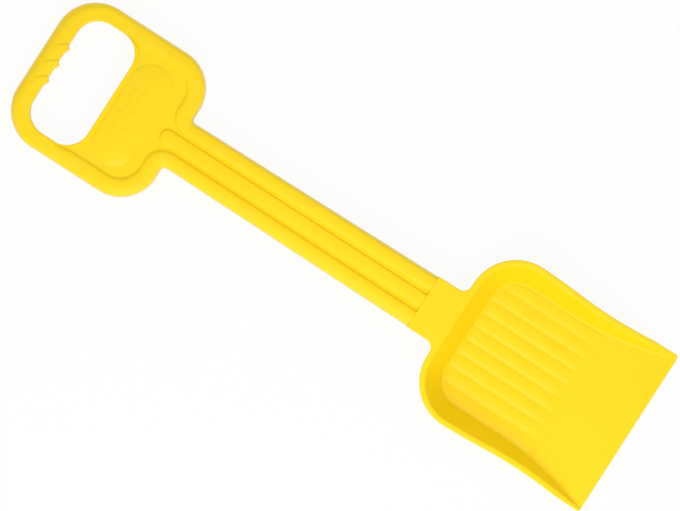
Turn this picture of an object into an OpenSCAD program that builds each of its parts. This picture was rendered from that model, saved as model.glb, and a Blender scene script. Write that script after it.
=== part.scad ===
// Child's sand shovel in injection-moulded plastic, lying on its back with the scoop open upwards.
// Two mouldings make it: a handle with a D-shaped grip, and a scoop whose neck is a socket.
// The handle's end is a tenon that fills the socket, and two push pins lock it from behind.
// The origin is below the middle of the shovel, on the surface that it lies on. +X points at the
// scoop's edge and +Z points up, out of the scoop.

/* [Grip head] */
// Length of the D-shaped head along the shovel
head_l = 118; // [100:1:135]
// Width of the D-shaped head
head_w = 116.5; // [100:0.5:130]
// Corner radius of the head at the grip
grip_corner_r = 31; // [20:1:40]
// Corner radius of the head at the shaft
shaft_corner_r = 29.5; // [20:0.5:32]
// Radius where the head runs into the shaft
junction_r = 3; // [2:0.5:6]
// Width of the bar that the fingers close on
grip_bar_w = 15; // [12:0.5:20]
// Width of the two arms beside the hand opening
arm_w = 12.5; // [10:0.5:16]
// Length of the hand opening along the shovel
opening_l = 45.5; // [36:0.5:52]
// Corner radius of the hand opening
opening_r = 17.5; // [10:0.5:20]
// Distance between the finger stops on the grip bar
stop_pitch = 13.5; // [11:0.5:17]
// Width of one finger stop along the grip bar
stop_w = 6.5; // [4:0.5:8]
// Height that a finger stop stands into the hand opening
stop_h = 1.8; // [1:0.1:3]
// Number of finger stops
stop_count = 3; // [1:1:4]
// Sideways shift of the row of finger stops
stop_shift = 1.5; // [0:0.1:3]

/* [Shaft] */
// Length of the shaft between the head and the scoop's socket
shaft_l = 207.5; // [150:0.5:260]
// Width of the shaft where it leaves the head
shaft_head_w = 38; // [34:0.5:44]
// Width of the shaft where it meets the socket
shaft_neck_w = 41.7; // [36:0.1:46]
// Width of the raised border round the head and along the shaft
border_w = 12.2; // [10:0.1:13]
// Width of the slope from the raised border down to the recess
border_slope_w = 2.2; // [1.5:0.1:4]
// Depth of the recess below the raised border
recess_d = 2.6; // [1.5:0.1:4]
// Width of the ridge in the recess
ridge_w = 11.4; // [8:0.1:12]
// How far the ridge reaches into the head, past the end of the shaft
ridge_reach = 14.5; // [8:0.5:16]
// Depth of the ridge's top below the raised border
ridge_drop = 0.4; // [0.2:0.1:1]
// Crown of the oval panel in the head
panel_crown = 1.1; // [0.5:0.1:2]
// Length of the oval panel along the shovel
panel_l = 32; // [24:1:34]
// Width of the oval panel
panel_w = 80; // [50:1:84]
// Width of the lip between the hand opening and the recess
lip_w = 3.6; // [3.5:0.1:6]

/* [Walls] */
// Height of the shovel at the grip's end
grip_h = 16.5; // [14:0.5:22]
// Height of the scoop's back rim and of the neck
rim_h = 25; // [22:0.5:30]
// Thickness of the handle's walls
wall = 2.2; // [1.8:0.1:3]
// How far the handle's walls lean in from the back edge to the front
draft = 0.7; // [0.3:0.1:1.2]
// Radius of the handle's front edge
edge_r = 3.6; // [2:0.1:4]
// Thickness of the stiffening ribs inside the handle
rib_t = 1.8; // [1.2:0.1:2.5]
// Spacing of the stiffening ribs along the shaft
rib_pitch = 34; // [20:1:50]
// Height of the back opening that the ribs stay clear of
rib_clear = 4; // [2:0.5:8]

/* [Scoop] */
// Length of the scoop from its back rim to its edge
scoop_l = 151.5; // [120:0.5:190]
// Width of the scoop's flat floor between its side walls
floor_w = 100; // [80:1:120]
// Width of the floor at the scoop's edge
edge_w = 128; // [110:1:150]
// Thickness of the floor
floor_t = 2.4; // [2:0.1:3.5]
// Thickness of the scoop's walls, square to their slope
scoop_wall = 2.4; // [2:0.1:3.5]
// How far the walls lean out from the floor to the back rim
wall_run = 12.4; // [8:0.1:16]
// Width of the bead along the rim
bead_w = 4; // [3.5:0.1:6]
// Height of the bead along the rim
bead_h = 3; // [2:0.1:4]
// Radius of the floor's back corners
floor_corner_r = 19.5; // [10:0.5:26]
// Length over which the rim comes down to the edge
rim_fall_l = 125; // [95:1:132]
// Length of the floor along which the side walls spread to the edge
flare_l = 80; // [50:1:100]
// Length of the bevel along the edge
bevel_l = 9; // [5:0.5:14]
// Thickness of the floor at the edge
edge_t = 1.2; // [0.8:0.1:1.8]

/* [Reeds] */
// Number of raised reeds on the floor
reed_count = 9; // [5:1:13]
// Length of the reeds
reed_l = 90; // [60:1:105]
// Length over which the reeds fade out
reed_fade_l = 22; // [10:1:40]
// Height of a reed's crown
reed_h = 1.3; // [0.6:0.1:2]

/* [Socket and pins] */
// Length of the neck from the socket's mouth to the scoop's back rim
neck_l = 23; // [21:0.5:40]
// Step from the shaft's surface out to the socket's surface
neck_step = 0.4; // [0.3:0.1:1.5]
// Thickness of the socket's walls
socket_wall = 2.2; // [1.8:0.1:3]
// Thickness of the socket's back plate, which holds the pins' heads
back_plate_t = 3.2; // [3:0.1:5]
// Radius where the neck runs into the scoop
neck_fillet_r = 6.5; // [3:0.5:10]
// Diameter of a push pin's shank
pin_d = 5; // [4:0.1:6]
// Diameter of a push pin's head
pin_head_d = 8; // [7:0.1:10]
// Height of a push pin's head
pin_head_h = 1.5; // [1:0.1:2]
// Length of a push pin's shank
pin_l = 13; // [10:0.5:15]
// Distance between the two push pins
pin_spacing = 20; // [16:0.5:22]

/* [Hidden] */
// Clearance between the tenon and the socket, all round
fit_gap = 0.15;
// Clearance between the shaft's shoulder and the socket's mouth
mouth_gap = 0.2;
// Radial clearance of the pins' shanks in the bosses
pin_fit = 0.05;
// Radial clearance of the pins in the socket's back plate
plate_gap = 0.15;
// How far the cutting shapes run past what they cut
overrun = 1;
// Strip of floor at the foot of the side walls that the bevel leaves
bevel_clear = 0.5;
// Share of the rim's height that is left at the scoop's edge
rim_end_share = 0.03;
// Rim height, as a share, at which the bead has its full width
bead_full_share = 0.3;
// Power of the curve of the rim as it comes down
rim_curve = 1.8;
// Power of the curve of the side walls as they spread
flare_curve = 1.9;
// Rounding of the rim bead as a share of its width
bead_round_share = 0.25;
// Rings of the oval panel: inset as a share of its half width, and height as a share of its crown
panel_ring_shares = [[0, 0], [0.08, 0.45], [0.3, 0.8], [0.65, 1]];
// Upper rings of the ridge: inset and drop, as shares of its height
ridge_ring_shares = [[0.25, 0.33], [0.5, 0]];
// Steps along each arc of an outline
arc_steps = 8;
// Steps along each side of the scoop
side_steps = 16;
// Steps across one reed, and rows along the reeds
reed_steps = 4;
reed_rows = 5;
$fn = 48;

// Places along the shovel, from the grip's end to the scoop's edge
total_l = head_l + shaft_l + neck_l + scoop_l;
grip_x = -total_l / 2;
shaft_x = grip_x + head_l;
seam_x = shaft_x + shaft_l;
scoop_x = seam_x + neck_l;
edge_x = scoop_x + scoop_l;
opening_x = grip_x + grip_bar_w;
opening_w = head_w - 2 * arm_w;
recess_x = opening_x + opening_l - opening_r / 2;
ridge_x = shaft_x - ridge_reach;
panel_x = opening_x + opening_l + lip_w + panel_l / 2;

// Sizes of the joint between the two mouldings
shaft_top = rim_h - neck_step;
neck_w = shaft_neck_w + 2 * neck_step;
socket_w = neck_w - 2 * socket_wall;
socket_top = rim_h - socket_wall;
tenon_w = socket_w - 2 * fit_gap;
tenon_top = socket_top - fit_gap;
tenon_bottom = back_plate_t + fit_gap;
tenon_l = neck_l - mouth_gap - socket_wall;
tenon_end_x = seam_x + tenon_l;
pin_x = seam_x + tenon_l / 2;
boss_d = pin_d + 2 * wall;
pin_head_recess = pin_head_h + plate_gap;
bore_top = plate_gap + pin_head_h + pin_l + overrun;

// Slopes and places of the scoop's walls
wall_slope = wall_run / (rim_h - floor_t);
wall_across = scoop_wall * sqrt(1 + wall_slope * wall_slope);
foot_out = wall_across - floor_t * wall_slope;
back_foot_x = scoop_x + bead_w + wall_run;

// Heights of the handle: the raised border falls evenly from the socket to the grip
function border_z(x) = grip_h + (shaft_top - grip_h) * (x - grip_x) / (seam_x - grip_x);

// Points of an arc about a centre
function arc(centre, r, from, to, steps = arc_steps) =
    [for (i = [0 : steps]) let (a = from + (to - from) * i / steps) centre + r * [cos(a), sin(a)]];

// A half outline, closed by its mirror image across the shovel's middle
function both_halves(half) = concat(half, [for (i = [len(half) - 1 : -1 : 0]) [half[i].x, -half[i].y]]);

// Half of the outline where the shaft runs into the head, moved in by inset. The two arcs stop half a
// step short of the straight side between them, so that x falls all the way along the half outline.
half_step = 90 / arc_steps / 2;
function junction_half(inset) = concat(
    arc([shaft_x + junction_r, shaft_head_w / 2 + junction_r], junction_r + inset, 270, 180 + half_step),
    arc([shaft_x - shaft_corner_r, head_w / 2 - shaft_corner_r], shaft_corner_r - inset, half_step, 90));

// The outline of head and shaft, moved in by inset, up to end_x
function handle_outline(inset, end_x) = both_halves(concat(
    [[end_x, shaft_neck_w / 2 - inset]], junction_half(inset),
    arc([grip_x + grip_corner_r, head_w / 2 - grip_corner_r], grip_corner_r - inset, 90, 180)));

// The outline of the recess, moved in by inset from the outline of head and shaft, from start_x to end_x
function recess_outline(inset, start_x, end_x) = both_halves(concat(
    [[end_x, shaft_head_w / 2 - inset]], junction_half(inset), [[start_x, head_w / 2 - inset]]));

// An outline as a ring that lies drop below the raised border, or as a level ring
function border_ring(outline, drop) = [for (p = outline) [p.x, p.y, border_z(p.x) - drop]];
function level_ring(outline, z) = [for (p = outline) [p.x, p.y, z]];

// A stretched circle with its round ends across the shovel, moved in by inset
function oval(l, w, inset) = both_halves(
    arc([panel_x, (w - l) / 2], l / 2 - inset, 0, 180, 2 * arc_steps));

// The ridge's outline, with a round tip in the head, moved in by inset
function ridge_outline(inset) = both_halves(concat(
    [[seam_x + overrun, ridge_w / 2 - inset]],
    arc([ridge_x + ridge_w / 2, 0], ridge_w / 2 - inset, 90, 180 - half_step)));

// The scoop's half width at its floor, and its rim height as a share, along its length
function floor_half(x) = floor_w / 2
    + (edge_w - floor_w) / 2 * pow(max(0, 1 - (edge_x - x) / flare_l), flare_curve);
function rim_share(x) = let (s = min(1, max(0, 1 - (edge_x - x) / rim_fall_l)))
    1 - (1 - rim_end_share) * pow(s, rim_curve);

// Stations round the floor from one edge corner to the other: place, then outward direction
side_x0 = back_foot_x + floor_corner_r;
corner_centre = [side_x0, floor_w / 2 - floor_corner_r];
half_stations = concat(
    [for (i = [0 : side_steps]) let (x = edge_x + (side_x0 - edge_x) * i / side_steps)
        [[x, floor_half(x)], [0, 1]]],
    [for (i = [1 : arc_steps]) let (a = 90 + 90 * i / arc_steps, d = [cos(a), sin(a)])
        [corner_centre + floor_corner_r * d, d]]);
stations = concat(half_stations, [for (i = [len(half_stations) - 1 : -1 : 0]) let (s = half_stations[i])
    [[s[0].x, -s[0].y], [s[1].x, -s[1].y]]]);

// One section of the scoop's wall: distance out from the floor's rim, and height
function wall_section(share) =
    let (z = floor_t + (rim_h - floor_t) * share,
         full = min(1, share / bead_full_share),
         inner = (z - floor_t) * wall_slope,
         outer = inner + foot_out + (bead_w - foot_out) * full,
         round = bead_w * bead_round_share * full,
         under = z - bead_h * full)
    [[foot_out, 0],
     [foot_out + max(under, edge_t * share) * wall_slope, max(under, edge_t * share)],
     [outer, z - max(bead_h - round, round) * full * (1 - bead_round_share)],
     [outer, z - round],
     [outer - round, z],
     [inner + round, z],
     [inner + round * wall_slope * bead_round_share, z - round * (1 - bead_round_share)],
     [0, floor_t]];
function wall_ring(station) = [for (p = wall_section(rim_share(station[0].x)))
    [station[0].x + p[0] * station[1].x, station[0].y + p[0] * station[1].y, p[1]]];

// Height of the reeds above the floor, at a share of their length and of one reed's width
function reed_fade(x) = let (s = min(1, max(0, (back_foot_x + reed_l - x) / reed_fade_l)))
    s * s * (3 - 2 * s);
function reed_z(x, share) = reed_h * reed_fade(x) * (1 - pow(2 * share - 1, 2));

// Triangles across a ring whose second half mirrors its first: ring holds the point numbers
function strip_up(ring) = let (last = len(ring) - 1)
    [for (i = [0 : (last - 3) / 2])
        each [[ring[i], ring[last - i], ring[last - i - 1]], [ring[i], ring[last - i - 1], ring[i + 1]]]];
function strip_down(ring) = [for (f = strip_up(ring)) [f[2], f[1], f[0]]];

// Faces of a stack of rings that all have n points, with both ends closed
function stack_faces(rings, n) = concat(
    strip_down([for (i = [0 : n - 1]) i]),
    [for (k = [0 : rings - 2], i = [0 : n - 1]) let (j = (i + 1) % n, a = k * n, b = a + n)
        each [[a + i, b + i, b + j], [a + i, b + j, a + j]]],
    strip_up([for (i = [0 : n - 1]) (rings - 1) * n + i]));

// A closed solid through a stack of rings, from the lowest up
module skin(rings) {
    polyhedron(points = [for (r = rings) each r], faces = stack_faces(len(rings), len(rings[0])));
}

// A box from one corner to the opposite one
module box(low, high) {
    translate(low) cube(high - low);
}

// A rectangle with round corners, from one corner to the opposite one
module round_rectangle(low, high, r) {
    translate([low.x + r, low.y]) square([high.x - low.x - 2 * r, high.y - low.y]);
    translate([low.x, low.y + r]) square([high.x - low.x, high.y - low.y - 2 * r]);
    for (x = [low.x + r, high.x - r], y = [low.y + r, high.y - r]) translate([x, y]) circle(r);
}

// The hand opening, moved out by outset
module opening_shape(outset) {
    round_rectangle([opening_x - outset, -opening_w / 2 - outset],
                    [opening_x + opening_l + outset, opening_w / 2 + outset], opening_r + outset);
}

// The finger stops along the grip bar
module finger_stops() {
    stop_r = (stop_w * stop_w / 4 + stop_h * stop_h) / (2 * stop_h);
    for (i = [0 : stop_count - 1])
        translate([opening_x + stop_h - stop_r, stop_shift + (i - (stop_count - 1) / 2) * stop_pitch])
            circle(stop_r);
}

// Outer form of the handle, solid, with its leaning walls and round front edge
module handle_form() {
    shoulder_angles = [0, 30, 60, 90];
    skin(concat(
        [level_ring(handle_outline(0, seam_x), 0)],
        [for (a = shoulder_angles)
            border_ring(handle_outline(draft + edge_r * (1 - cos(a)), seam_x), edge_r * (1 - sin(a)))]));
}

// Turns its children, drawn level, to lie on the sloping raised border
module on_border() {
    slope = atan((shaft_top - grip_h) / (seam_x - grip_x));
    translate([grip_x, 0, grip_h]) rotate([0, -slope, 0]) translate([-grip_x, 0, 0]) children();
}

// The shaft and the end of the head that it leaves from start_x to end_x, moved in by inset
module shaft_shape(inset, start_x, end_x) {
    corner_x = shaft_x - shaft_corner_r;
    corner_y = head_w / 2 - shaft_corner_r;
    half = shaft_head_w / 2 - inset;
    translate([start_x, -head_w / 2 + inset]) square([corner_x - start_x, head_w - 2 * inset]);
    translate([start_x, -corner_y]) square([shaft_x - inset - start_x, 2 * corner_y]);
    translate([start_x, -half]) square([end_x - start_x, 2 * half]);
    for (side = [-1, 1]) {
        translate([corner_x, side * corner_y]) circle(shaft_corner_r - inset);
        difference() {
            translate([shaft_x - inset, side * half - (junction_r + inset) * (1 - side) / 2])
                square(junction_r + inset);
            translate([shaft_x + junction_r, side * (half + junction_r + inset)]) circle(junction_r + inset);
        }
    }
}

// Head and shaft up to end_x, moved in by inset
module handle_shape(inset, end_x) {
    corner_x = grip_x + grip_corner_r;
    corner_y = head_w / 2 - grip_corner_r;
    shaft_shape(inset, corner_x, end_x);
    translate([grip_x + inset, -corner_y]) square([grip_corner_r - inset, 2 * corner_y]);
    for (side = [-1, 1]) translate([corner_x, side * corner_y]) circle(grip_corner_r - inset);
}

// Space inside the handle, open at the back, up to the underside of the raised border
module handle_space() {
    depth = rim_h + overrun;
    on_border() translate([0, 0, -depth])
        linear_extrude(depth - wall) handle_shape(wall + draft, seam_x - wall);
}

// Floor of the recess: what stays of the handle's inside below the recess
module recess_floor() {
    on_border() translate([0, 0, -recess_d - wall])
        linear_extrude(recess_d + wall) shaft_shape(border_w - wall, recess_x - wall, seam_x);
}

// Wall round the hand opening, drawn solid across it
module opening_wall() {
    linear_extrude(rim_h) opening_shape(wall);
}

// Stiffening ribs across the shaft and along the middle of the head
module handle_ribs() {
    rib_count = floor((shaft_l - rib_pitch / 2) / rib_pitch);
    for (i = [0 : rib_count])
        let (x = shaft_x + rib_pitch / 2 + i * rib_pitch)
            box([x - rib_t / 2, -shaft_neck_w / 2, rib_clear], [x + rib_t / 2, shaft_neck_w / 2, rim_h]);
    box([opening_x + opening_l, -rib_t / 2, rib_clear], [seam_x, rib_t / 2, rim_h]);
}

// Recess in the head and along the shaft, round the ridge and the oval panel
module recess() {
    rise_share = (recess_d + overrun) / recess_d;
    difference() {
        skin([border_ring(recess_outline(border_w, recess_x, seam_x + overrun), recess_d),
              border_ring(recess_outline(border_w - border_slope_w * rise_share, recess_x, seam_x + overrun),
                          -overrun)]);
        linear_extrude(rim_h + 2 * overrun) opening_shape(lip_w);
        ridge();
        oval_panel();
    }
}

// Ridge along the middle of the recess
module ridge() {
    ridge_h = recess_d - ridge_drop;
    skin(concat(
        [border_ring(ridge_outline(0), recess_d + wall / 2)],
        [for (s = ridge_ring_shares) border_ring(ridge_outline(s[0] * ridge_h), ridge_drop + s[1] * ridge_h)]));
}

// Crowned oval panel in the head
module oval_panel() {
    skin(concat(
        [border_ring(oval(panel_l, panel_w, 0), recess_d + wall / 2)],
        [for (s = panel_ring_shares)
            border_ring(oval(panel_l, panel_w, s[0] * panel_l / 2), recess_d - s[1] * panel_crown)]));
}

// Tenon that fills the socket, open at the back, with a boss for each pin
module tenon() {
    difference() {
        box([seam_x, -tenon_w / 2, tenon_bottom], [tenon_end_x, tenon_w / 2, tenon_top]);
        difference() {
            box([seam_x - wall, -tenon_w / 2 + wall, tenon_bottom - overrun],
                [tenon_end_x - wall, tenon_w / 2 - wall, tenon_top - wall]);
            at_pins() cylinder(d = boss_d, h = rim_h);
        }
        at_pins() cylinder(r = pin_d / 2 + pin_fit, h = bore_top);
    }
}

// Places its children on the axis of each pin
module at_pins() {
    for (side = [-1, 1]) translate([pin_x, side * pin_spacing / 2, 0]) children();
}

// Handle moulding: grip, head, shaft and tenon in one
module handle() {
    color("gold") union() {
        difference() {
            handle_form();
            difference() {
                handle_space();
                recess_floor();
                opening_wall();
                handle_ribs();
            }
            translate([0, 0, -overrun]) linear_extrude(rim_h + 2 * overrun) difference() {
                opening_shape(0);
                finger_stops();
            }
            recess();
        }
        tenon();
    }
}

// Scoop without its neck: floor, leaning walls and rim bead
module tray() {
    rings = [for (s = stations) wall_ring(s)];
    n = len(rings[0]);
    count = len(rings);
    far = (count - 1) * n;
    polyhedron(
        points = [for (r = rings) each r],
        faces = concat(
            [for (k = [0 : count - 2], i = [0 : n - 2]) let (a = k * n + i, b = a + n)
                each [[a, a + 1, b + 1], [a, b + 1, b]]],
            strip_up([for (k = [0 : count - 1]) k * n + n - 1]),
            strip_down([for (k = [0 : count - 1]) k * n]),
            [for (i = [1 : n - 2]) each [[i + 1, i, 0], [far, far + i, far + i + 1]]],
            [[n - 1, 0, far], [n - 1, far, far + n - 1]]));
}

// Raised reeds on the floor, which fade out towards the edge
module reeds() {
    columns = reed_count * reed_steps;
    sunk_z = floor_t / 2;
    fade_x = back_foot_x + reed_l - reed_fade_l;
    function reed_y(i) = floor_w * (i / columns - 1 / 2);
    function start_x(y) = let (past = max(0, abs(y) - corner_centre.y))
        side_x0 - sqrt(floor_corner_r * floor_corner_r - past * past) - sunk_z * wall_slope;
    function row_x(j, y) = j == 0 ? start_x(y) : fade_x + reed_fade_l * (j - 1) / (reed_rows - 1);
    top = [for (j = [0 : reed_rows], i = [0 : columns]) let (x = row_x(j, reed_y(i)))
        [x, reed_y(i), floor_t + reed_z(x, (i % reed_steps) / reed_steps)]];
    low = [for (p = top) [p.x, p.y, sunk_z]];
    n = columns + 1;
    last = reed_rows * n;
    under = len(top);
    rim = concat([for (i = [0 : columns]) i],
                 [for (j = [1 : reed_rows]) j * n + columns],
                 [for (i = [columns - 1 : -1 : 0]) last + i],
                 [for (j = [reed_rows - 1 : -1 : 1]) j * n]);
    polyhedron(points = concat(top, low), faces = concat(
        [for (j = [0 : reed_rows - 1], i = [0 : columns - 1]) let (a = j * n + i, b = under + a)
            each [[a, a + 1, a + n + 1], [a, a + n + 1, a + n], [b + n + 1, b + 1, b], [b + n, b + n + 1, b]]],
        [for (k = [0 : len(rim) - 1]) let (a = rim[k], b = rim[(k + 1) % len(rim)])
            each [[b, a, under + a], [b, under + a, under + b]]]));
}

// Block of the neck, with fillets into the rim bead
module neck_form() {
    fillet_x = scoop_x - neck_fillet_r;
    fillet_y = neck_w / 2 + neck_fillet_r;
    box([seam_x + mouth_gap, -neck_w / 2, 0], [scoop_x + bead_w / 2, neck_w / 2, rim_h]);
    translate([0, 0, rim_h - bead_h]) linear_extrude(bead_h) difference() {
        translate([fillet_x, -fillet_y]) square([neck_fillet_r + bead_w / 2, 2 * fillet_y]);
        for (side = [-1, 1]) translate([fillet_x, side * fillet_y]) circle(neck_fillet_r);
    }
}

// Fills the neck down to the floor behind the sloping back wall
module neck_root() {
    rotate([90, 0, 0]) translate([0, 0, -neck_w / 2]) linear_extrude(neck_w) polygon([
        [scoop_x, 0], [back_foot_x, 0], [back_foot_x, floor_t / 2], [scoop_x + bead_w, rim_h - scoop_wall],
        [scoop_x, rim_h - scoop_wall]]);
}

// Space in the neck that takes the tenon, with a back end that follows the scoop's wall
module socket() {
    rotate([90, 0, 0]) translate([0, 0, -socket_w / 2]) linear_extrude(socket_w) polygon([
        [seam_x - overrun, back_plate_t], [tenon_end_x + wall_run, back_plate_t],
        [tenon_end_x + fit_gap, socket_top], [seam_x - overrun, socket_top]]);
}

// Stepped holes for the pins through the socket's back plate
module pin_holes() {
    at_pins() {
        translate([0, 0, -overrun]) cylinder(r = pin_d / 2 + plate_gap, h = back_plate_t + 2 * overrun);
        translate([0, 0, -overrun]) cylinder(r = pin_head_d / 2 + plate_gap, h = pin_head_recess + overrun);
    }
}

// Bevel that thins the floor along the scoop's edge, between the side walls
module edge_bevel() {
    start_x = edge_x - bevel_l;
    end_x = edge_x + overrun;
    bevel_slope = (floor_t - edge_t) / bevel_l;
    intersection() {
        rotate([90, 0, 0]) translate([0, 0, -edge_w]) linear_extrude(2 * edge_w) polygon([
            [start_x, floor_t], [end_x, edge_t - overrun * bevel_slope], [end_x, rim_h], [start_x, rim_h]]);
        linear_extrude(rim_h) polygon(both_halves([
            [end_x, floor_half(edge_x) - bevel_clear], [edge_x, floor_half(edge_x) - bevel_clear],
            [start_x, floor_half(start_x) - bevel_clear]]));
    }
}

// Scoop moulding: floor, walls, rim and socket neck in one
module scoop() {
    color("gold") difference() {
        union() {
            tray();
            reeds();
            neck_form();
            neck_root();
        }
        socket();
        pin_holes();
        edge_bevel();
    }
}

// Two push pins, pressed in from the back
module lock_pins() {
    color("goldenrod") at_pins() translate([0, 0, plate_gap]) {
        cylinder(d = pin_head_d, h = pin_head_h);
        cylinder(d = pin_d, h = pin_head_h + pin_l);
    }
}

scoop();
handle();
lock_pins();
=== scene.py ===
"""Looks of a child's sand shovel: fine meshes of its two mouldings, their plastic, the light and the camera.

Lengths are in millimetres until a mesh is made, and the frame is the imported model's own: +X points from the
grip to the scoop's edge, +Z points up out of the scoop, and the shovel lies on z = 0.
"""

import math

import bmesh
import bpy
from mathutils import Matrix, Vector
from mathutils.geometry import delaunay_2d_cdt


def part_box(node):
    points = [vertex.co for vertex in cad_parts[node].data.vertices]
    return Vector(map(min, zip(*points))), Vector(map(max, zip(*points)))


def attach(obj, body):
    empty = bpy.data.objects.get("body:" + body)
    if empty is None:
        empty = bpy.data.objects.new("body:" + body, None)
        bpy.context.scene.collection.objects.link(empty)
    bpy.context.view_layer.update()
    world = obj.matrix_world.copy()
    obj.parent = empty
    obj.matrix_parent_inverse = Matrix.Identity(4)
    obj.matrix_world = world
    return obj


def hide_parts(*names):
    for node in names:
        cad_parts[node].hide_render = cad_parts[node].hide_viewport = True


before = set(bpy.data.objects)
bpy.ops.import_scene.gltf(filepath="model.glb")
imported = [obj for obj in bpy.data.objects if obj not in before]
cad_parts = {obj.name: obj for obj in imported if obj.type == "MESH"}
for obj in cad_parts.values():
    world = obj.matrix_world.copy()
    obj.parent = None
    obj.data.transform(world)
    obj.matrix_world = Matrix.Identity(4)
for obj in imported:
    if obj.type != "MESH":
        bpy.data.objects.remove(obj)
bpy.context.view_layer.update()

MM = 0.001
SLACK = 0.001
WELD = 0.004
SLIVER = 0.001
FILL_MERGE = 1e-6
SHARP_ANGLE = 38
NORMAL_WEIGHT = 80


def corners(node):
    """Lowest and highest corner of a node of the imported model, in millimetres."""
    low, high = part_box(node)
    return low / MM, high / MM


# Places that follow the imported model
handle_low, handle_high = corners("handle")
scoop_low, scoop_high = corners("scoop")
MOUTH_GAP = 0.2
SEAM_LINE = 0.05
GRIP_X = handle_low.x
SEAM_X = scoop_low.x - MOUTH_GAP
TENON_END_X = handle_high.x
EDGE_X = scoop_high.x
HEAD_W = handle_high.y - handle_low.y
RIM_H = scoop_high.z
BORDER_TOP = RIM_H - SEAM_LINE

# Grip head
HEAD_L = 118
GRIP_CORNER_R = 31
SHAFT_CORNER_R = 29.5
JUNCTION_R = 3
GRIP_BAR_W = 15
ARM_W = 12.5
OPENING_L = 45.5
OPENING_R = 17.5
GRIP_H = 16.5
SHAFT_X = GRIP_X + HEAD_L
OPENING_X0 = GRIP_X + GRIP_BAR_W
OPENING_X1 = OPENING_X0 + OPENING_L
OPENING_HALF = HEAD_W / 2 - ARM_W
RELIEF_L = GRIP_BAR_W / 3

# Finger stops along the grip bar
STOP_PITCH = 13.5
STOP_COUNT = 3
STOP_SHIFT = 1.5
STOP_H = 1.8
STOP_STEEP_W = 2.6
STOP_GENTLE_W = 5.2
CREASE_SLANT = 0.8
CREASE_LEAD = 4.2
CREASE_STEP = 0.75
CREASE_W = 1.2

# Shaft, recess, ridge, lip and oval panel
SHAFT_HEAD_W = 38
SHAFT_NECK_W = 41.7
GROOVE_HALF = 6.6
GROOVE_SPREAD = 0.4
BORDER_W = 14.2
BORDER_SLOPE_W = 2.7
BORDER_CROWN = 0.45
BORDER_GROW_L = 12
BORDER_GROW_AFTER = 3
RECESS_D = 2.5
DRAFT = 0.8
EDGE_R = 3.6
GRIP_EDGE_R = 6.6
INNER_R = 1.2
FOOT_R = 0.3
RIDGE_W = 12.6
RIDGE_REACH = 14.5
RIDGE_DROP = 0.9
RIDGE_SIDE_W = 1.5
RIDGE_CROWN = 0.45
LIP_W = 3.2
LIP_GROW_L = 16
LIP_EDGE_R = 0.8
LIP_EDGE_SHARE = 1 / 3
RECESS_GROW_L = 8
PANEL_L = 32
PANEL_W = 80
PANEL_STEP = 0.45
PANEL_STEP_W = 1.3
PANEL_CROWN = 1.95
WAVE_H = 0.32
WAVE_HALF_W = 1.3
WAVE_SWING = 1.5
WAVE_L = 15
WAVE_GAP = 6.5
WAVE_REACH = 25
WAVE_TAPER = 3
WAVE_FADE_L = 3

# Walls, ribs and tenon of the handle
WALL = 2.2
END_CLEAR = 1
RIB_T = 1.8
RIB_PITCH = 34
RIB_CLEAR = 4
FIT_GAP = 0.15
BACK_PLATE_T = 3.2
SOCKET_WALL = 2.2
PIN_D = 5
PIN_SPACING = 20
PIN_FIT = 0.05
PIN_END_Z = 15.65
PIN_HEAD_RECESS = 1.65

# Scoop
NECK_L = 23
NECK_STEP = 0.4
NECK_EDGE_R = 0.9
NECK_FILLET_R = 6.5
FLOOR_W = 100
EDGE_W = 128
FLOOR_T = 2.4
EDGE_T = 1.2
SCOOP_WALL = 2.4
WALL_RUN = 12.4
BEAD_W = 4
BEAD_H = 3
BEAD_R = 1.2
FLOOR_CORNER_R = 19.5
FOOT_FILLET = 1.6
RIM_FALL_L = 125
RIM_END_SHARE = 0.03
RIM_CURVE = 1.8
BEAD_FULL_SHARE = 0.3
FLARE_L = 80
FLARE_CURVE = 1.9
BEVEL_L = 9
TIP_CORNER_R = 2.4
REED_COUNT = 9
REED_L = 90
REED_FADE_L = 22
REED_START_L = 3.5
REED_H = 0.8
REED_POWER = 3
SCOOP_X = SEAM_X + NECK_L
NECK_W = SHAFT_NECK_W + 2 * NECK_STEP
SOCKET_W = NECK_W - 2 * SOCKET_WALL
SOCKET_TOP = RIM_H - SOCKET_WALL
PIN_X = (SEAM_X + TENON_END_X) / 2
WALL_SLOPE = WALL_RUN / (RIM_H - FLOOR_T)
FOOT_OUT = SCOOP_WALL * math.hypot(1, WALL_SLOPE) - FLOOR_T * WALL_SLOPE
BACK_FOOT_X = SCOOP_X + BEAD_W + WALL_RUN
SIDE_X = BACK_FOOT_X + FLOOR_CORNER_R
CORNER_Y = FLOOR_W / 2 - FLOOR_CORNER_R

# Steps of the meshes in millimetres
LONG_STEP = 3
FLOOR_STEP = 2
SIDE_STEP = 1.5
COLUMN_STEP = 1
FINE_STEP = 0.5
REED_START_SHARES = (0, 0.03, 0.07, 0.12, 0.19, 0.28, 0.4, 0.55, 0.75)

# Steps of arcs in degrees
TIP_ARC_STEP = 10
ROD_ARC_STEP = 7.5
SMALL_ARC_STEP = 6
ROUND_ARC_STEP = 5
PANEL_ARC_STEP = 4
LIP_ARC_STEP = 3
CORNER_ARC_STEP = 2.5

# Counts of steps across a section
SHOULDER_STEPS = 8
FLAT_STEPS = 12
INNER_STEPS = 8
LIP_EDGE_STEPS = 4
LIP_SLOPE_STEPS = 6
RIDGE_STEPS = 8
RIDGE_SIDE_STEPS = 8
FOOT_STEPS = 4
WALL_STEPS = 6
RIM_STEPS = 6
UNDER_STEPS = 3
BACK_STEPS = 4
FLARE_STEPS = 6
NECK_EDGE_STEPS = 6

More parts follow.
